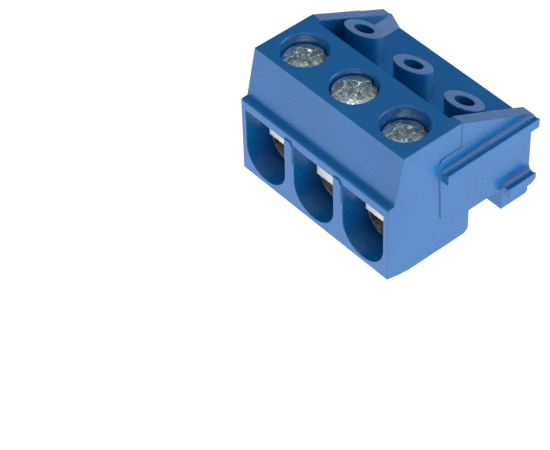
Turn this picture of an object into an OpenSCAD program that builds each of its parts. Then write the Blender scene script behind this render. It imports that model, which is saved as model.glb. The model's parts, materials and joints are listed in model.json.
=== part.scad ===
// Pluggable three-pole screw terminal with rising-cage clamps.
// X runs along the row of poles, Y from the mating face to the wire face, Z up.

/* [Row] */
// Distance from one pole to the next, mm
pitch = 5.08; // [4.9:0.02:5.4]
// Width left out of the row so that blocks stack side by side, mm
stack_gap = 0.10; // [0.04:0.02:0.2]

/* [Body] */
// Mating face to wire face, mm
depth = 13.5; // [13.2:0.1:14.5]
// Underside of the rear foot to the top plate, mm
height = 10.85; // [10.7:0.05:11.6]
// Rear edge of the top plate, back from the wire face, mm
plate_setback = 1.40; // [1.2:0.05:1.7]
// Front edge of the top plate, which is the back of the tray, mm
tray_depth = 7.10; // [6.9:0.05:7.2]
// Level of the tray floor, mm
tray_floor = 6.80; // [6.6:0.05:7.0]
// Thickness of the end walls beside the tray, mm
end_wall = 0.90; // [0.8:0.05:1.0]
// Height of the end walls over the tray floor at the mating face, mm
wall_nose = 0.75; // [0.6:0.05:0.9]
// Level of the ledge above the wire entries, mm
ledge_z = 7.00; // [6.9:0.05:7.2]
// How far the ledge stands out from the sloping back, mm
ledge_reach = 0.56; // [0.4:0.02:0.7]
// Rounding of small outer edges, mm
edge_r = 0.17; // [0.1:0.01:0.2]

/* [Underside] */
// Depth of the bar under the mating face, mm
foot_bar = 2.60; // [2.4:0.05:2.8]
// Where the rear foot begins, mm
foot_rear = 5.83; // [5.6:0.05:6.0]
// Level of the end walls between the two feet, mm
notch_z = 2.02; // [1.8:0.02:2.2]
// Rounding of the rear foot's front edge, mm
foot_r = 0.55; // [0.3:0.05:0.7]
// Rise of the underside at the wire face, mm
heel_rise = 0.42; // [0.2:0.02:0.6]
// Length of the rising part of the underside, mm
heel_run = 2.10; // [1.6:0.1:2.4]

/* [Mating face] */
// Level of the pin holes, mm
pin_z = 4.61; // [4.5:0.01:4.7]
// Diameter of the pin holes, mm
pin_hole_d = 2.72; // [2.4:0.02:2.9]
// Depth of the pin holes down to the contacts, mm
pin_hole_depth = 1.40; // [1.2:0.05:1.6]
// Width of the two slots between the poles, mm
slot_w = 0.94; // [0.8:0.02:1.1]
// Top of the slots between the poles, mm
slot_top = 6.04; // [5.9:0.02:6.2]
// Lower edge of the long window, mm
window_z0 = 1.05; // [0.9:0.05:1.2]
// Upper edge of the long window, mm
window_z1 = 2.60; // [2.4:0.02:2.62]
// Thickness of the end wall beside the window on the rib side, mm
window_end_rib = 1.25; // [1.1:0.05:1.4]
// Thickness of the end wall beside the window on the groove side, mm
window_end_groove = 1.12; // [1.0:0.02:1.3]

/* [Wire face] */
// Width of the wire entries, mm
entry_w = 4.14; // [4.0:0.02:4.3]
// Lowest point of the wire entries, mm
entry_bottom = 0.80; // [0.7:0.02:0.9]
// Top of the wire entries, mm
entry_top = 6.20; // [6.1:0.02:6.4]
// Thickness of the front wall above the entries, mm
lintel = 1.88; // [1.8:0.02:2.0]
// How far the tongues between the entries stand out, mm
tongue_h = 0.09; // [0.05:0.01:0.12]
// Width of the tongues between the entries, mm
tongue_w = 0.78; // [0.7:0.01:0.8]

/* [Test probes] */
// Outer diameter of the probe tubes, mm
tube_od = 2.80; // [2.6:0.05:3.0]
// Bore of the probe tubes, mm
tube_bore = 1.44; // [1.36:0.02:1.6]
// Centre line of the probe tubes from the mating face, mm
tube_y = 4.18; // [3.9:0.02:4.3]

/* [Stacking] */
// How far the ribs stand out, mm
rib_h = 0.73; // [0.6:0.01:0.74]
// Underside of the upper rib, mm
rib_z0 = 6.72; // [6.7:0.01:6.8]
// Thickness of the ribs, mm
rib_t = 0.83; // [0.74:0.01:0.84]
// Length of the upper rib from the mating face, mm
rib_len = 8.65; // [8.4:0.05:8.8]
// Underside of the lower rib, mm
low_rib_z0 = 1.56; // [1.5:0.01:1.6]
// Radius of the hollow along the top of the ribs, mm
gutter_r = 0.36; // [0.3:0.01:0.38]
// How deep that hollow lies under the ribs' outer edge, mm
gutter_dip = 0.10; // [0.05:0.01:0.12]
// Extra room of the grooves around the ribs, mm
groove_play = 0.05; // [0.03:0.01:0.08]
// Height of the raised or sunk panel on each end, mm
step_h = 0.08; // [0.04:0.01:0.1]
// What is left of the raised panel's height at the mating face, mm
step_near = 0.01; // [0.01:0.01:0.04]
// How much further back the panels reach at the top than at the foot, mm
step_lean = 0.26; // [0.1:0.02:0.3]

/* [Screws] */
// Thread diameter of the screws, mm
screw_d = 2.50; // [2.4:0.05:2.6]
// Head diameter of the screws, mm
head_d = 3.18; // [3.0:0.02:3.24]
// Height of the straight side of the head, mm
head_side = 1.15; // [1.0:0.05:1.2]
// Height of the head's dome, mm
head_dome = 0.33; // [0.25:0.01:0.36]
// Diameter of the access holes, mm
access_d = 3.44; // [3.36:0.02:3.6]
// Centre line of the screws ahead of the plate's rear edge, mm
screw_inset = 2.40; // [2.3:0.02:2.5]
// Level of the shoulder under the heads, mm
seat_z = 8.60; // [8.5:0.02:8.7]
// How high each screw stands off its shoulder, mm
screw_lift = [0.04, 0.68, 0.30];
// How far each screw's slot is turned, degrees
screw_turn = [70, 76, 70];
// Width of the driver slot, mm
driver_slot = 0.60; // [0.5:0.05:0.7]
// Room left between the screw tips and the contacts' bars, mm
tip_gap = 0.15; // [0.1:0.05:0.3]
// Side play of the screws' shanks in the housing, mm
shank_play = 0.15; // [0.1:0.01:0.2]

/* [Clamps] */
// Side play of the cages in their chambers, mm
cage_play = 0.10; // [0.06:0.01:0.14]
// Thickness of the cage around the wire, mm
cage_wall = 0.36; // [0.3:0.02:0.4]
// Length of the cages, mm
cage_len = 3.55; // [3.4:0.05:3.6]
// Level of the centre of the cages' round floor, mm
cage_z = 3.02; // [2.98:0.01:3.1]
// Top of the cages' window, mm
cage_window_top = 4.40; // [4.3:0.02:4.5]
// Top of the cages, mm
cage_top = 6.00; // [5.9:0.02:6.0]
// Width of the cages' threaded block, mm
cage_block_w = 2.90; // [2.8:0.02:2.92]
// Greatest lift of the cages from where they stand, mm
cage_lift = 1.40; // [1.3:0.02:1.4]
// Play of the cages along the poles' axis, mm
cage_end_play = 0.10; // [0.05:0.01:0.2]
// Chamfer round the cages' outer end, mm
cage_chamfer = 0.24; // [0.15:0.01:0.3]
// Room between the screws and the cages' threads, mm
thread_play = 0.03; // [0.02:0.01:0.06]

/* [Contacts] */
// Width of the bar that the wire is pressed against, mm
bar_w = 2.10; // [1.9:0.05:2.2]
// Thickness of the bar, mm
bar_t = 0.80; // [0.7:0.02:0.85]
// Underside of each bar, mm
bar_z = [3.20, 2.92, 3.20];
// Width of the plate at the end of the bar, mm
plate_w = 3.12; // [2.9:0.02:3.2]
// Thickness of the plate at the end of the bar, mm
plate_t = 0.25; // [0.2:0.01:0.3]
// Outside of the square pin socket, mm
socket_w = 2.00; // [1.9:0.02:2.04]
// Radius of the pin socket, mm
socket_r = 0.56; // [0.52:0.01:0.6]
// Wall behind the pin socket, mm
socket_back = 0.35; // [0.3:0.05:0.5]
// Length over which socket and bar are joined, mm
bar_root = 0.65; // [0.5:0.05:0.7]
// Room between the plate and the cage, mm
plate_gap = 0.06; // [0.04:0.01:0.1]
// Depth of the pin socket, mm
socket_len = 3.60; // [3.4:0.05:3.7]

/* [Hidden] */
$fn = 64;
e = 0.5;
poles = [-pitch, 0, pitch];
half_w = 1.5 * pitch - stack_gap / 2;
plate_back = depth - plate_setback;
plate_kink = tray_depth - 0.30;
ledge_y = depth - ledge_reach;
nose_z = tray_floor + wall_nose;
inner_w = half_w - end_wall;
screw_y = plate_back - screw_inset;
entry_r = entry_w / 2;
entry_c = entry_bottom + entry_r;
cage_r = entry_r - cage_play;
cage_y1 = screw_y + cage_len / 2;
cage_y0 = cage_y1 - cage_len;
chamber_y0 = cage_y0 - cage_end_play;
chamber_y1 = depth - lintel;
chamber_top = cage_top + cage_lift + cage_end_play;
cage_shoulder = entry_top - cage_lift - cage_end_play;
groove_d = rib_h + groove_play;
step_y = rib_len - 0.05;
panel_top = rib_z0 + rib_t + 1.10;
bar_y0 = pin_hole_depth + socket_len + socket_back;
socket_y1 = bar_y0 + bar_root;
screw_len = seat_z - max(bar_z) - bar_t - tip_gap;

// Turns a drawing of (y, z) into a solid that runs along X.
module along_x(x0, x1) { translate([x0, 0, 0]) rotate([90, 0, 90]) linear_extrude(x1 - x0) children(); }
// Turns a drawing of (x, z) into a solid that runs along Y.
module along_y(y0, y1) { translate([0, y1, 0]) rotate([90, 0, 0]) linear_extrude(y1 - y0) children(); }
// A block given by its two corners.
module block(a, b) { translate(a) cube(b - a); }
// What rounding a convex corner takes away; sx and sy point from the corner into the material.
module spandrel(x, y, r, sx, sy) {
    translate([x, y]) scale([sx, sy]) difference() {
        translate([-0.2, -0.2]) square(r + 0.2);
        translate([r, r]) circle(r, $fn = 32);
    }
}
// U-shaped drawing with a round foot, centred on x = 0.
module u_shape(r, zc, top) {
    translate([0, zc]) circle(r);
    translate([-r, zc]) square([2 * r, top - zc]);
}

module body_profile() {
    difference() {
        polygon([[0, 0], [foot_bar, 0], [foot_bar, notch_z], [foot_rear, notch_z], [foot_rear, 0],
                 [depth - heel_run, 0], [depth - heel_run * 0.55, heel_rise * 0.30], [depth, heel_rise],
                 [depth, ledge_z], [ledge_y, ledge_z], [plate_back, height], [plate_kink, height], [0, nose_z]]);
        spandrel(foot_rear, 0, foot_r, 1, 1);
        spandrel(0, 0, 0.30, 1, 1);
        spandrel(depth, ledge_z, edge_r, -1, -1);
    }
}
// Fine step that runs round the stacking area of each end.
module end_panel(top) {
    difference() {
        polygon([[0, notch_z + 1.00], [step_y, notch_z + 1.06], [step_y + step_lean, top], [0, top]]);
        spandrel(step_y + step_lean, top, 0.45, -1, -1);
    }
}
module nose_panel() {
    polygon([[0, panel_top], [plate_kink, panel_top], [plate_kink, height], [0, nose_z]]);
}
// All that lies under the slope of the end walls, as far back as y1.
module under_slope(y1) { polygon([[0, 0], [y1, 0], [y1, height], [plate_kink, height], [0, nose_z]]); }
// Raised panel of the ribbed end, which thins out towards the mating face.
module raised_panel() {
    slope = (step_h - step_near) / step_y;
    intersection() {
        along_x(-half_w - 2 * step_h, -half_w + 0.1) intersection() { end_panel(panel_top); body_profile(); }
        linear_extrude(height) polygon([[-half_w + 0.2, -e], [-half_w - step_near + slope * e, -e],
            [-half_w - step_h - slope * e, step_y + e], [-half_w + 0.2, step_y + e]]);
    }
}
// Rib with a hollow along its top that curves up into the wall.
module rib_profile(z0, t) {
    gutter_x = -half_w - step_h / 2 - gutter_r;
    gutter_z = z0 + t - gutter_dip + gutter_r;
    difference() {
        union() {
            translate([-half_w - rib_h, z0]) square([rib_h + e, t]);
            translate([gutter_x, z0]) square([-half_w - gutter_x + e, gutter_z - z0]);
        }
        spandrel(-half_w - rib_h, z0, 0.06, 1, 1);
        spandrel(-half_w - rib_h, z0 + t, 0.05, 1, -1);
        translate([gutter_x, gutter_z]) circle(gutter_r, $fn = 48);
    }
}
module ribs() {
    intersection() {
        along_y(0, rib_len) rib_profile(rib_z0, rib_t);
        // keeps the hollow's edge under the sloping wall top
        along_x(-half_w - rib_h - e, 0) under_slope(rib_len);
    }
    difference() {
        along_y(0, foot_bar) rib_profile(low_rib_z0, rib_t);
        // lead-in under the lower rib
        along_x(-half_w - rib_h - e, -half_w) translate([0, low_rib_z0])
            polygon([[-e, -e], [0.9, -e], [0.9, 0], [0.5, 0.06], [0.22, 0.18], [0, 0.36], [-e, 0.9]]);
    }
}
// Tongues that stand out on the webs between the wire entries.
module tongues() {
    for (s = [-1, 1]) translate([s * pitch / 2 - 0.01, 0, 0]) along_y(depth - e, depth + tongue_h)
        polygon([[-tongue_w / 2, entry_top - 1.78], [tongue_w / 2, entry_top - 1.78], [tongue_w / 2, entry_top + 0.23],
                 [-tongue_w / 2 + 0.22, entry_top + 0.23], [-tongue_w / 2, entry_top - 0.10]]);
}
module grooves() {
    block([half_w - groove_d, -e, rib_z0 - groove_play], [half_w + e, rib_len + groove_play, rib_z0 + rib_t + groove_play]);
    block([half_w - groove_d, -e, low_rib_z0 - groove_play], [half_w + e, foot_bar + 0.001, low_rib_z0 + rib_t + groove_play]);
}
// Probe tube, cut off along the same slope as the end walls.
module probe_tube(x) {
    intersection() {
        translate([x, tube_y, tray_floor - 0.2]) cylinder(d = tube_od, h = 6);
        along_x(x - tube_od, x + tube_od) under_slope(tray_depth);
    }
}
module pole_hollows(i) {
    x = poles[i];
    // chamber of the cage, and the wire entry that leads to it
    translate([x, 0, 0]) {
        along_y(chamber_y0, depth + e) u_shape(entry_r, entry_c, entry_top);
        block([-cage_block_w / 2 - 0.06, chamber_y0, entry_top - e], [cage_block_w / 2 + 0.06, chamber_y1, chamber_top]);
    }
    // screw access
    translate([x, screw_y, seat_z]) cylinder(d = access_d, h = height - seat_z + e);
    translate([x, screw_y, height - 0.09]) cylinder(d1 = access_d, d2 = access_d + 0.2, h = 0.1);
    translate([x, screw_y, chamber_top - e]) cylinder(d = screw_d + 2 * shank_play, h = seat_z - chamber_top + 2 * e);
    // pin hole, socket pocket and slot for the bar
    translate([x, -e, pin_z]) rotate([-90, 0, 0]) cylinder(d = pin_hole_d, h = pin_hole_depth + e);
    block([x - socket_w / 2, pin_hole_depth - 0.001, pin_z - socket_w / 2], [x + socket_w / 2, socket_y1, pin_z + socket_w / 2]);
    block([x - bar_w / 2, bar_y0, bar_z[i]], [x + bar_w / 2, chamber_y0 + e, bar_z[i] + bar_t]);
    block([x - bar_w / 2, bar_y0, bar_z[i]], [x + bar_w / 2, socket_y1, pin_z]);
    // test probe bore
    translate([x, tube_y, pin_z + socket_w / 2 - 0.001]) cylinder(d = tube_bore, h = 8);
}
module face_hollows() {
    for (s = [-1, 1]) block([s * pitch / 2 - slot_w / 2, -e, window_z1 - 0.1], [s * pitch / 2 + slot_w / 2, foot_rear - 0.3, slot_top]);
    block([-half_w + window_end_rib, -e, window_z0], [half_w - window_end_groove, foot_rear, window_z1]);
    block([-half_w + window_end_rib, foot_bar, -e], [half_w - window_end_groove, foot_rear, window_z0 + 0.1]);
}
module housing() {
    color([0.11, 0.35, 0.62]) difference() {
        union() {
            difference() {
                along_x(-half_w, half_w) body_profile();
                block([-inner_w, -e, tray_floor], [inner_w, tray_depth, height + e]);
            }
            // thickening inside the end wall that the groove weakens
            along_y(0, tray_depth + 0.1) polygon([[inner_w + 0.05, tray_floor - 0.1], [inner_w - 0.82, tray_floor - 0.1], [inner_w - 0.82, tray_floor], [inner_w, nose_z], [inner_w + 0.05, nose_z]]);
            for (x = poles) probe_tube(x);
            ribs();
            tongues();
            raised_panel();
            along_x(-half_w - step_h / 2, -half_w + 0.1) intersection() { nose_panel(); body_profile(); }
        }
        along_x(half_w - step_h, half_w + e) end_panel(panel_top);
        grooves();
        for (i = [0:2]) pole_hollows(i);
        face_hollows();
    }
}
// Screw with a low domed head and a combined cross and slot; z = 0 under the head.
module screw_body() {
    dome_r = (pow(head_d / 2, 2) + pow(head_dome, 2)) / (2 * head_dome);
    top = head_side + head_dome;
    difference() {
        union() {
            intersection() {
                cylinder(d = head_d, h = top + 0.1, $fn = 48);
                translate([0, 0, top - dome_r]) sphere(dome_r, $fn = 48);
            }
            translate([0, 0, -screw_len + 0.3]) cylinder(d = screw_d, h = screw_len - 0.2, $fn = 48);
            translate([0, 0, -screw_len]) cylinder(d1 = screw_d - 0.6, d2 = screw_d, h = 0.3, $fn = 48);
        }
        translate([-head_d, -driver_slot / 2, top - 0.62]) cube([2 * head_d, driver_slot, 1]);
        translate([-driver_slot / 2, -head_d * 0.33, top - 0.90]) cube([driver_slot, head_d * 0.66, 1.2]);
        translate([0, 0, top - 1.05]) cylinder(d1 = 0.4, d2 = 1.7, h = 1.06, $fn = 32);
    }
}
module screw(i) {
    color([0.74, 0.80, 0.80]) translate([poles[i], screw_y, seat_z + screw_lift[i]]) rotate([0, 0, screw_turn[i]]) screw_body();
}
module clamp_cage(i) {
    color([0.70, 0.66, 0.58]) translate([poles[i], 0, 0]) difference() {
        union() {
            along_y(cage_y0, cage_y1 - cage_chamfer) u_shape(cage_r, cage_z, cage_shoulder);
            along_y(cage_y1 - 1.5 * cage_chamfer, cage_y1 - cage_chamfer / 2) u_shape(cage_r - cage_chamfer / 2, cage_z, cage_shoulder - cage_chamfer / 4);
            along_y(cage_y1 - cage_chamfer, cage_y1) u_shape(cage_r - cage_chamfer, cage_z, cage_shoulder - cage_chamfer / 2);
            block([-cage_block_w / 2, cage_y0, cage_shoulder - cage_chamfer], [cage_block_w / 2, cage_y1, cage_top]);
        }
        along_y(cage_y0 - e, cage_y1 + e) u_shape(cage_r - cage_wall, cage_z, cage_window_top);
        translate([0, screw_y, cage_window_top - e]) cylinder(d = screw_d + 2 * thread_play, h = cage_top - cage_window_top + 2 * e, $fn = 48);
    }
}
module contact(i) {
    zb = bar_z[i];
    color([0.80, 0.78, 0.72]) translate([poles[i], 0, 0]) difference() {
        union() {
            block([-bar_w / 2, bar_y0, zb], [bar_w / 2, cage_y1 + plate_gap + plate_t / 2, zb + bar_t]);
            block([-plate_w / 2, cage_y1 + plate_gap, zb], [plate_w / 2, cage_y1 + plate_gap + plate_t, zb + bar_t + 0.10]);
            block([-socket_w / 2, pin_hole_depth, pin_z - socket_w / 2], [socket_w / 2, socket_y1, pin_z + socket_w / 2]);
            block([-socket_w / 2, bar_y0, zb], [socket_w / 2, socket_y1, pin_z]);
        }
        translate([0, pin_hole_depth - e, pin_z]) rotate([-90, 0, 0]) cylinder(r = socket_r, h = socket_len + e, $fn = 32);
        translate([0, pin_hole_depth - 0.01, pin_z]) rotate([-90, 0, 0]) cylinder(r1 = socket_r + 0.26, r2 = socket_r, h = 0.26, $fn = 32);
        block([-socket_w, pin_hole_depth - e, pin_z - 0.12], [socket_w, pin_hole_depth + socket_len - 0.5, pin_z + 0.12]);
    }
}

housing();
screw(0);  // screw_1
screw(1);  // screw_2
screw(2);  // screw_3
clamp_cage(0);  // clamp_cage_1
clamp_cage(1);  // clamp_cage_2
clamp_cage(2);  // clamp_cage_3
contact(0);  // contact_1
contact(1);  // contact_2
contact(2);  // contact_3
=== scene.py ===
"""Dresses the pluggable screw terminal: finishes, studio and camera.

All lengths are metres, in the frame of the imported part: X along the poles, Y from the mating face
to the wire face, Z up.
"""

from __future__ import annotations

import json
import logging
import math
from dataclasses import dataclass
from enum import Enum

import bpy
from mathutils import Euler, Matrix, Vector

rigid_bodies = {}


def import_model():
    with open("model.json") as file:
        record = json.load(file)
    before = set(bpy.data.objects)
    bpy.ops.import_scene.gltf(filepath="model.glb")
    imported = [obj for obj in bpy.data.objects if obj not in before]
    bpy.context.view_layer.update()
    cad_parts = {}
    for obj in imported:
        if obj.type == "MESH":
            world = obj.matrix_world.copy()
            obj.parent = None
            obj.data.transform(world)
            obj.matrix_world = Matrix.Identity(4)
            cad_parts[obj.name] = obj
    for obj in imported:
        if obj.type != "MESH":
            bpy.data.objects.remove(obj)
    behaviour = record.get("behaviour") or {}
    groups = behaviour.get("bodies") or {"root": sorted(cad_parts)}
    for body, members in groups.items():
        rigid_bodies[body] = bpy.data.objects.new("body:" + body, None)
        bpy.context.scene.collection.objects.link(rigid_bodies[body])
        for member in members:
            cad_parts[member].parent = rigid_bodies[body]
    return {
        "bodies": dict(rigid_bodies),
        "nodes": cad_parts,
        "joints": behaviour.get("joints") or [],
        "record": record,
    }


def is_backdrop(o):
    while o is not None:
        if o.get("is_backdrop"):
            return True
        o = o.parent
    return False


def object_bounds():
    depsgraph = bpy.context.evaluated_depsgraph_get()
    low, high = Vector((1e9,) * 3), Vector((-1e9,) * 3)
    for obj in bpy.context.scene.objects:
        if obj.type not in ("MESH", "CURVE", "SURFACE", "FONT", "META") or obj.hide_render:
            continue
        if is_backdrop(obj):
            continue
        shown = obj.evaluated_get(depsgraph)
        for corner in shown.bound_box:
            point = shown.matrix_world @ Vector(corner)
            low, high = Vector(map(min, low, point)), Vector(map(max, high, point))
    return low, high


LOG = logging.getLogger("terminal")
MM = 0.001
POLES = (1, 2, 3)
EDGE_SAMPLES = 6  # rays that round the shading of an edge

Colour = tuple[float, float, float]
Socket = bpy.types.NodeSocket


class Plating(Enum):
    """The metal finishes on the terminal's small parts."""

    ZINC = "zinc"
    NICKEL = "nickel"
    TIN = "tin"


class NodeGraph:
    """A short way to write one material's node tree."""

    def __init__(self, name: str) -> None:
        """Start an empty material.

        Args:
            name: The material's name.
        """
        self.material = bpy.data.materials.new(name)
        self.material.use_nodes = True
        self.tree = self.material.node_tree
        self.tree.nodes.clear()

    def node(self, kind: str, **settings: object) -> bpy.types.Node:
        """Add a node.

        Args:
            kind: Blender's node type.
            settings: Attributes of the node, or "in_N" for its input number N.

        Returns:
            The new node.
        """
        made = self.tree.nodes.new(kind)
        for key, value in settings.items():
            if key.startswith("in_"):
                made.inputs[int(key[3:])].default_value = value
            else:
                setattr(made, key, value)
        return made

    def link(self, source: Socket, target: Socket) -> None:
        """Join two sockets.

        Args:
            source: The output to start from.
            target: The input that takes it.
        """
        self.tree.links.new(source, target)

    def position(self) -> Socket:
        """Read the point's place in the object's own frame.

        Returns:
            The place.
        """
        return self.node("ShaderNodeTexCoord").outputs["Object"]

    def noise(self, scale: float, detail: float = 2.0, rough: float = 0.5) -> Socket:
        """Add a noise of the object's own place.

        Args:
            scale: Spots per metre.
            detail: Octaves.
            rough: How strong the finer octaves are.

        Returns:
            The noise's value.
        """
        made = self.node("ShaderNodeTexNoise")
        made.inputs["Scale"].default_value = scale
        made.inputs["Detail"].default_value = detail
        made.inputs["Roughness"].default_value = rough
        self.link(self.position(), made.inputs["Vector"])
        return made.outputs["Fac"]

    def ramp(
        self, value: Socket, low: float, high: float, out: tuple[float, float]
    ) -> Socket:
        """Map a value from one range to another, held at the ends.

        Args:
            value: The socket to map.
            low: Start of the range.
            high: End of the range.
            out: What low and high become.

        Returns:
            The mapped value.
        """
        made = self.node("ShaderNodeMapRange")
        names = ("From Min", "From Max", "To Min", "To Max")
        for key, number in zip(names, (low, high, *out)):
            made.inputs[key].default_value = number
        self.link(value, made.inputs["Value"])
        return made.outputs["Result"]

    def math(self, operation: str, a: Socket, b: Socket | float) -> Socket:
        """Join two values.

        Args:
            operation: Blender's name for the operation.
            a: The first value.
            b: The second value, a socket or a number.

        Returns:
            The result.
        """
        made = self.node("ShaderNodeMath", operation=operation)
        self.link(a, made.inputs[0])
        if isinstance(b, (int, float)):
            made.inputs[1].default_value = b
        else:
            self.link(b, made.inputs[1])
        return made.outputs[0]

    def blend(self, factor: Socket, a: Colour, b: Colour) -> Socket:
        """Mix two colours.

        Args:
            factor: How much of the second.
            a: First colour.
            b: Second colour.

        Returns:
            The mixed colour.
        """
        made = self.node("ShaderNodeMix", data_type="RGBA")
        made.inputs["A"].default_value = (*a, 1.0)
        made.inputs["B"].default_value = (*b, 1.0)
        self.link(factor, made.inputs["Factor"])
        return made.outputs["Result"]

    def bump(
        self, height: Socket, depth: float, normal: Socket | None = None
    ) -> Socket:
        """Add a bump.

        Args:
            height: The height, from 0 to 1.
            depth: What 1 stands for, in metres.
            normal: The normal to start from.

        Returns:
            The bumped normal.
        """
        made = self.node("ShaderNodeBump")
        made.inputs["Strength"].default_value = 1.0
        made.inputs["Distance"].default_value = depth
        self.link(height, made.inputs["Height"])
        if normal is not None:
            self.link(normal, made.inputs["Normal"])
        return made.outputs["Normal"]

    def soft_edges(self, radius: float) -> Socket:
        """Round the shading over edges.

        Args:
            radius: Of the rounding, in metres.

        Returns:
            The rounded normal.
        """
        made = self.node("ShaderNodeBevel", samples=EDGE_SAMPLES)
        made.inputs["Radius"].default_value = radius
        return made.outputs["Normal"]

    def principled(self, **values: object) -> bpy.types.Node:
        """Add the surface shader and join it to the output.

        Args:
            values: Inputs by name, with "_" for a space; sockets or constants.

        Returns:
            The shader node.
        """
        made = self.node("ShaderNodeBsdfPrincipled")
        for key, value in values.items():
            socket = made.inputs[key.replace("_", " ")]
            if isinstance(value, Socket):
                self.link(value, socket)
            elif isinstance(value, tuple):
                socket.default_value = (*value, 1.0)
            else:
                socket.default_value = value
        out = self.node("ShaderNodeOutputMaterial")
        self.link(made.outputs[0], out.inputs["Surface"])
        return made


@dataclass(frozen=True)
class MouldedPlastic:
    """Blue polyamide from a fine spark-eroded mould.

    The grain, waves, clouds and sheen are noises, given as spots a metre.
    """

    name: str = "blue_polyamide"
    colour: Colour = (0.001, 0.114, 0.345)
    pale: Colour = (0.002, 0.127, 0.378)
    roughness: float = 0.28
    smoother: float = 0.04
    rougher: float = 0.05
    refraction: float = 1.58
    edge: float = 0.09 * MM
    clouds: float = 260.0
    sheen: float = 1500.0
    grain: float = 9000.0
    grain_depth: float = 0.003 * MM
    waves: float = 420.0
    wave_depth: float = 0.006 * MM

    def build(self) -> bpy.types.Material:
        """Make the material.

        Returns:
            The material.
        """
        g = NodeGraph(self.name)
        cloudy = g.ramp(g.noise(self.clouds, 3.0), 0.35, 0.65, (0.0, 1.0))
        tint = g.blend(cloudy, self.colour, self.pale)
        grain = g.noise(self.grain, 3.0, 0.6)
        waves = g.noise(self.waves, 1.5)
        wavy = g.bump(waves, self.wave_depth, g.soft_edges(self.edge))
        normal = g.bump(grain, self.grain_depth, wavy)
        span = (self.roughness - self.smoother, self.roughness + self.rougher)
        rough = g.ramp(g.noise(self.sheen, 3.0), 0.3, 0.7, span)
        g.principled(Base_Color=tint, Roughness=rough, IOR=self.refraction, Normal=normal)
        return g.material


@dataclass(frozen=True)
class PlatedMetal:
    """A plated small part with a mottled, slightly uneven surface.

    The mottle, sheen and ripple are noises, given as spots a metre. The mottle mixes in the dull
    colour: a duller tone on the nickel and tin, and on the zinc a dark teal that is a painted
    reflection of the blue housing.
    """

    plating: Plating
    colour: Colour
    dull_and_painted_reflection: Colour
    roughness: float
    metallic: float = 1.0
    mottle: float = 2200.0
    relief: float = 0.012 * MM
    edge: float = 0.06 * MM
    sheen: float = 5200.0
    ripple: float = 4200.0
    smoothest: float = 0.8
    roughest: float = 1.35

    def build(self) -> bpy.types.Material:
        """Make the material.

        Returns:
            The material.
        """
        g = NodeGraph(f"{self.plating.value}_plate")
        # the mottle mixes in the dull colour; on the zinc it is a painted reflection of the blue
        # housing
        dull_and_reflection_mask = g.noise(self.mottle, 4.0, 0.6)
        tint = g.blend(g.ramp(dull_and_reflection_mask, 0.35, 0.7, (0.0, 1.0)), self.colour, self.dull_and_painted_reflection)
        span = (self.roughness * self.smoothest, self.roughness * self.roughest)
        rough = g.ramp(g.noise(self.sheen, 3.0), 0.3, 0.7, span)
        normal = g.bump(g.noise(self.ripple, 3.0), self.relief, g.soft_edges(self.edge))
        g.principled(
            Base_Color=tint, Metallic=self.metallic, Roughness=rough, Normal=normal
        )
        return g.material


ZINC = PlatedMetal(
    plating=Plating.ZINC,
    colour=(0.95, 1.0, 0.98),
    # dark teal: a painted reflection of the blue housing, laid in as a random mottle
    dull_and_painted_reflection=(0.16, 0.33, 0.37),
    roughness=0.14,
    metallic=0.86,
    mottle=3800.0,
    relief=0.040 * MM,
)
NICKEL = PlatedMetal(
    plating=Plating.NICKEL,
    colour=(0.62, 0.56, 0.50),
    dull_and_painted_reflection=(0.40, 0.33, 0.27),
    roughness=0.28,
)
TIN = PlatedMetal(
    plating=Plating.TIN,
    colour=(0.95, 0.95, 0.95),
    dull_and_painted_reflection=(0.90, 0.90, 0.90),
    roughness=0.45,
    metallic=0.35,
)
BLUE = MouldedPlastic()


class Finishes:
    """Every finish, made once."""

    def __init__(self) -> None:
        """Build the materials."""
        self.blue = BLUE.build()
        self.zinc = ZINC.build()
        self.nickel = NICKEL.build()
        self.tin = TIN.build()


def dress(node: bpy.types.Object, material: bpy.types.Material) -> None:
    """Give a CAD node its finish.

    Args:
        node: The node's object.
        material: Its finish.
    """
    node.data.materials.clear()
    node.data.materials.append(material)


@dataclass
class Housing:
    """The moulded body."""

    frame: dict
    body: str = "block"

    def build(self, finishes: Finishes) -> None:
        """Dress the body.

        Args:
            finishes: The materials.
        """
        dress(self.frame["nodes"]["housing"], finishes.blue)
        LOG.info("housing dressed")


@dataclass
class Pole:
    """One pole's screw, clamp cage and contact."""

    frame: dict
    number: int

    def build(self, finishes: Finishes) -> None:
        """Dress the pole's pieces.

        Args:
            finishes: The materials.
        """
        nodes = self.frame["nodes"]
        dress(nodes[f"screw_{self.number}"], finishes.zinc)
        dress(nodes[f"clamp_cage_{self.number}"], finishes.nickel)
        dress(nodes[f"contact_{self.number}"], finishes.tin)
        LOG.info("pole %d dressed", self.number)


@dataclass(frozen=True)
class Softbox:
    """A soft square light that faces the object.

    The azimuth runs from X towards Y, and both angles are degrees.
    """

    name: str
    azimuth: float
    elevation: float
    distance: float
    size: float
    radiance: float

    def hang(self, centre: Vector) -> None:
        """Hang the light.

        Args:
            centre: The point it faces.
        """
        turn, rise = math.radians(self.azimuth), math.radians(self.elevation)
        level = math.cos(rise)
        away = Vector((math.cos(turn) * level, math.sin(turn) * level, math.sin(rise)))
        data = bpy.data.lights.new(self.name, "AREA")
        data.shape = "SQUARE"
        data.size = self.size
        data.energy = self.radiance * math.pi * self.size**2
        lamp = bpy.data.objects.new(self.name, data)
        lamp.location = centre + away * self.distance
        lamp.rotation_euler = (-away).to_track_quat("-Z", "Y").to_euler()
        bpy.context.scene.collection.objects.link(lamp)


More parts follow.
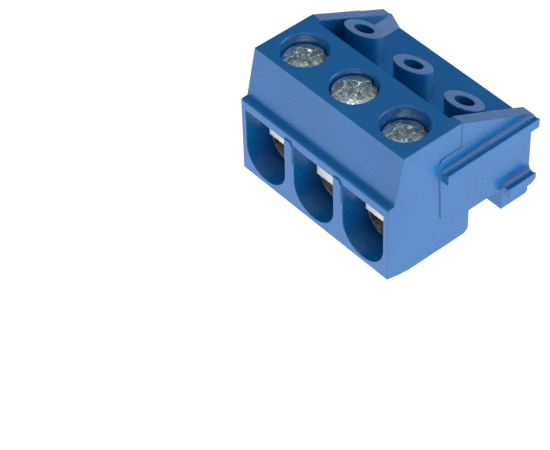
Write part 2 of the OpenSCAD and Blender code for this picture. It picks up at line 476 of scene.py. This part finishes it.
@dataclass
class Studio:
    """White table, soft lights and the camera.

    Each light's numbers are azimuth, elevation, distance, size and radiance.
    """

    centre: Vector
    floor_size: float = 1.6
    floor_colour: Colour = (0.86, 0.86, 0.86)
    floor_white: float = 0.93
    floor_glow: float = 1.7
    floor_gap: float = 0.01 * MM
    zenith: Colour = (0.42, 0.44, 0.46)
    horizon: Colour = (0.05, 0.055, 0.065)
    horizon_level: float = 0.45
    sensor: float = 36.0
    lens: float = 161.54
    shift: tuple[float, float] = (-0.0068, 0.0031)
    near: float = 0.005
    stand: tuple[float, float, float] = (-0.0929717, 0.0932113, 0.1227359)
    aim_degrees: tuple[float, float, float] = (44.92373, 1.31035, -130.76404)
    lights: tuple[Softbox, ...] = (
        Softbox("left_box", 80.0, 16.0, 0.34, 0.22, 1.5),
        Softbox("right_box", 196.0, 16.0, 0.34, 0.22, 1.5),
        Softbox("back_box", 236.0, 34.0, 0.34, 0.22, 2.2),
        Softbox("top_box", 130.0, 78.0, 0.40, 0.20, 3.6),
    )

    def table(self) -> None:
        """Lay the table: white to the camera and in reflections, a plain pale sheet to the lamps.

        It is clear from below, so the underside can be looked at.
        """
        half = self.floor_size / 2
        mesh = bpy.data.meshes.new("table")
        corners = [(-half, -half, 0), (half, -half, 0), (half, half, 0), (-half, half, 0)]
        mesh.from_pydata(corners, [], [(0, 1, 2, 3)])
        table = bpy.data.objects.new("table", mesh)
        table.location.z = -self.floor_gap
        bpy.context.scene.collection.objects.link(table)
        g = NodeGraph("table_white")
        path = g.node("ShaderNodeLightPath")
        camera, glossy, through = (
            path.outputs[f"Is {kind} Ray"] for kind in ("Camera", "Glossy", "Transmission")
        )
        seen = g.math("MAXIMUM", g.math("MAXIMUM", camera, glossy), through)
        pale = g.node("ShaderNodeBsdfDiffuse")
        pale.inputs["Color"].default_value = (*self.floor_colour, 1.0)
        white = g.node("ShaderNodeEmission")
        white.inputs["Strength"].default_value = 1.0
        glow = g.node("ShaderNodeEmission")
        glow.inputs["Strength"].default_value = self.floor_glow
        lit = g.node("ShaderNodeAddShader")
        g.link(pale.outputs[0], lit.inputs[0])
        g.link(glow.outputs[0], lit.inputs[1])
        mix = g.node("ShaderNodeMixShader")
        g.link(g.math("MULTIPLY", seen, self.floor_white), mix.inputs[0])
        g.link(lit.outputs[0], mix.inputs[1])
        g.link(white.outputs[0], mix.inputs[2])
        one_sided = g.node("ShaderNodeMixShader")
        g.link(g.node("ShaderNodeNewGeometry").outputs["Backfacing"], one_sided.inputs[0])
        g.link(mix.outputs[0], one_sided.inputs[1])
        g.link(g.node("ShaderNodeBsdfTransparent").outputs[0], one_sided.inputs[2])
        out = g.node("ShaderNodeOutputMaterial")
        g.link(one_sided.outputs[0], out.inputs["Surface"])
        mesh.materials.append(g.material)
        table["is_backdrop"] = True

    def world(self) -> None:
        """Light the room dimly from above, and make it white to the camera."""
        world = bpy.data.worlds.new("room")
        bpy.context.scene.world = world
        world.use_nodes = True
        tree = world.node_tree
        tree.nodes.clear()
        place = tree.nodes.new("ShaderNodeTexCoord")
        split = tree.nodes.new("ShaderNodeSeparateXYZ")
        tree.links.new(place.outputs["Generated"], split.inputs[0])
        ramp = tree.nodes.new("ShaderNodeMapRange")
        ramp.interpolation_type = "SMOOTHSTEP"
        ramp.inputs["From Min"].default_value = self.horizon_level
        ramp.inputs["From Max"].default_value = 1.0
        tree.links.new(split.outputs["Z"], ramp.inputs["Value"])
        tint = tree.nodes.new("ShaderNodeMix")
        tint.data_type = "RGBA"
        tint.inputs["A"].default_value = (*self.horizon, 1.0)
        tint.inputs["B"].default_value = (*self.zenith, 1.0)
        tree.links.new(ramp.outputs["Result"], tint.inputs["Factor"])
        room = tree.nodes.new("ShaderNodeBackground")
        tree.links.new(tint.outputs["Result"], room.inputs["Color"])
        white = tree.nodes.new("ShaderNodeBackground")
        white.inputs["Color"].default_value = (1.0, 1.0, 1.0, 1.0)
        path = tree.nodes.new("ShaderNodeLightPath")
        mix = tree.nodes.new("ShaderNodeMixShader")
        out = tree.nodes.new("ShaderNodeOutputWorld")
        tree.links.new(path.outputs["Is Camera Ray"], mix.inputs[0])
        tree.links.new(room.outputs[0], mix.inputs[1])
        tree.links.new(white.outputs[0], mix.inputs[2])
        tree.links.new(mix.outputs[0], out.inputs["Surface"])

    def camera(self) -> None:
        """Set the camera and the plain view transform."""
        data = bpy.data.cameras.new("camera")
        data.sensor_width = self.sensor
        data.lens = self.lens
        data.shift_x, data.shift_y = self.shift
        data.clip_start = self.near
        camera = bpy.data.objects.new("camera", data)
        camera.location = self.stand
        camera.rotation_euler = Euler(tuple(math.radians(a) for a in self.aim_degrees))
        bpy.context.scene.collection.objects.link(camera)
        bpy.context.scene.camera = camera
        bpy.context.scene.view_settings.view_transform = "Standard"

    def build(self) -> None:
        """Set up everything round the object."""
        self.table()
        self.world()
        for light in self.lights:
            light.hang(self.centre)
        self.camera()
        LOG.info("studio ready")


def main() -> None:
    """Build the scene, in order."""
    logging.basicConfig(level=logging.INFO, format="%(name)s: %(message)s")
    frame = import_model()
    cad_box = [[float(v) for v in corner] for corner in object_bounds()]
    finishes = Finishes()
    Housing(frame).build(finishes)
    for number in POLES:
        Pole(frame, number).build(finishes)
    low, high = (Vector(c) for c in cad_box)
    Studio((low + high) / 2).build()


if __name__ == "__main__":
    main()
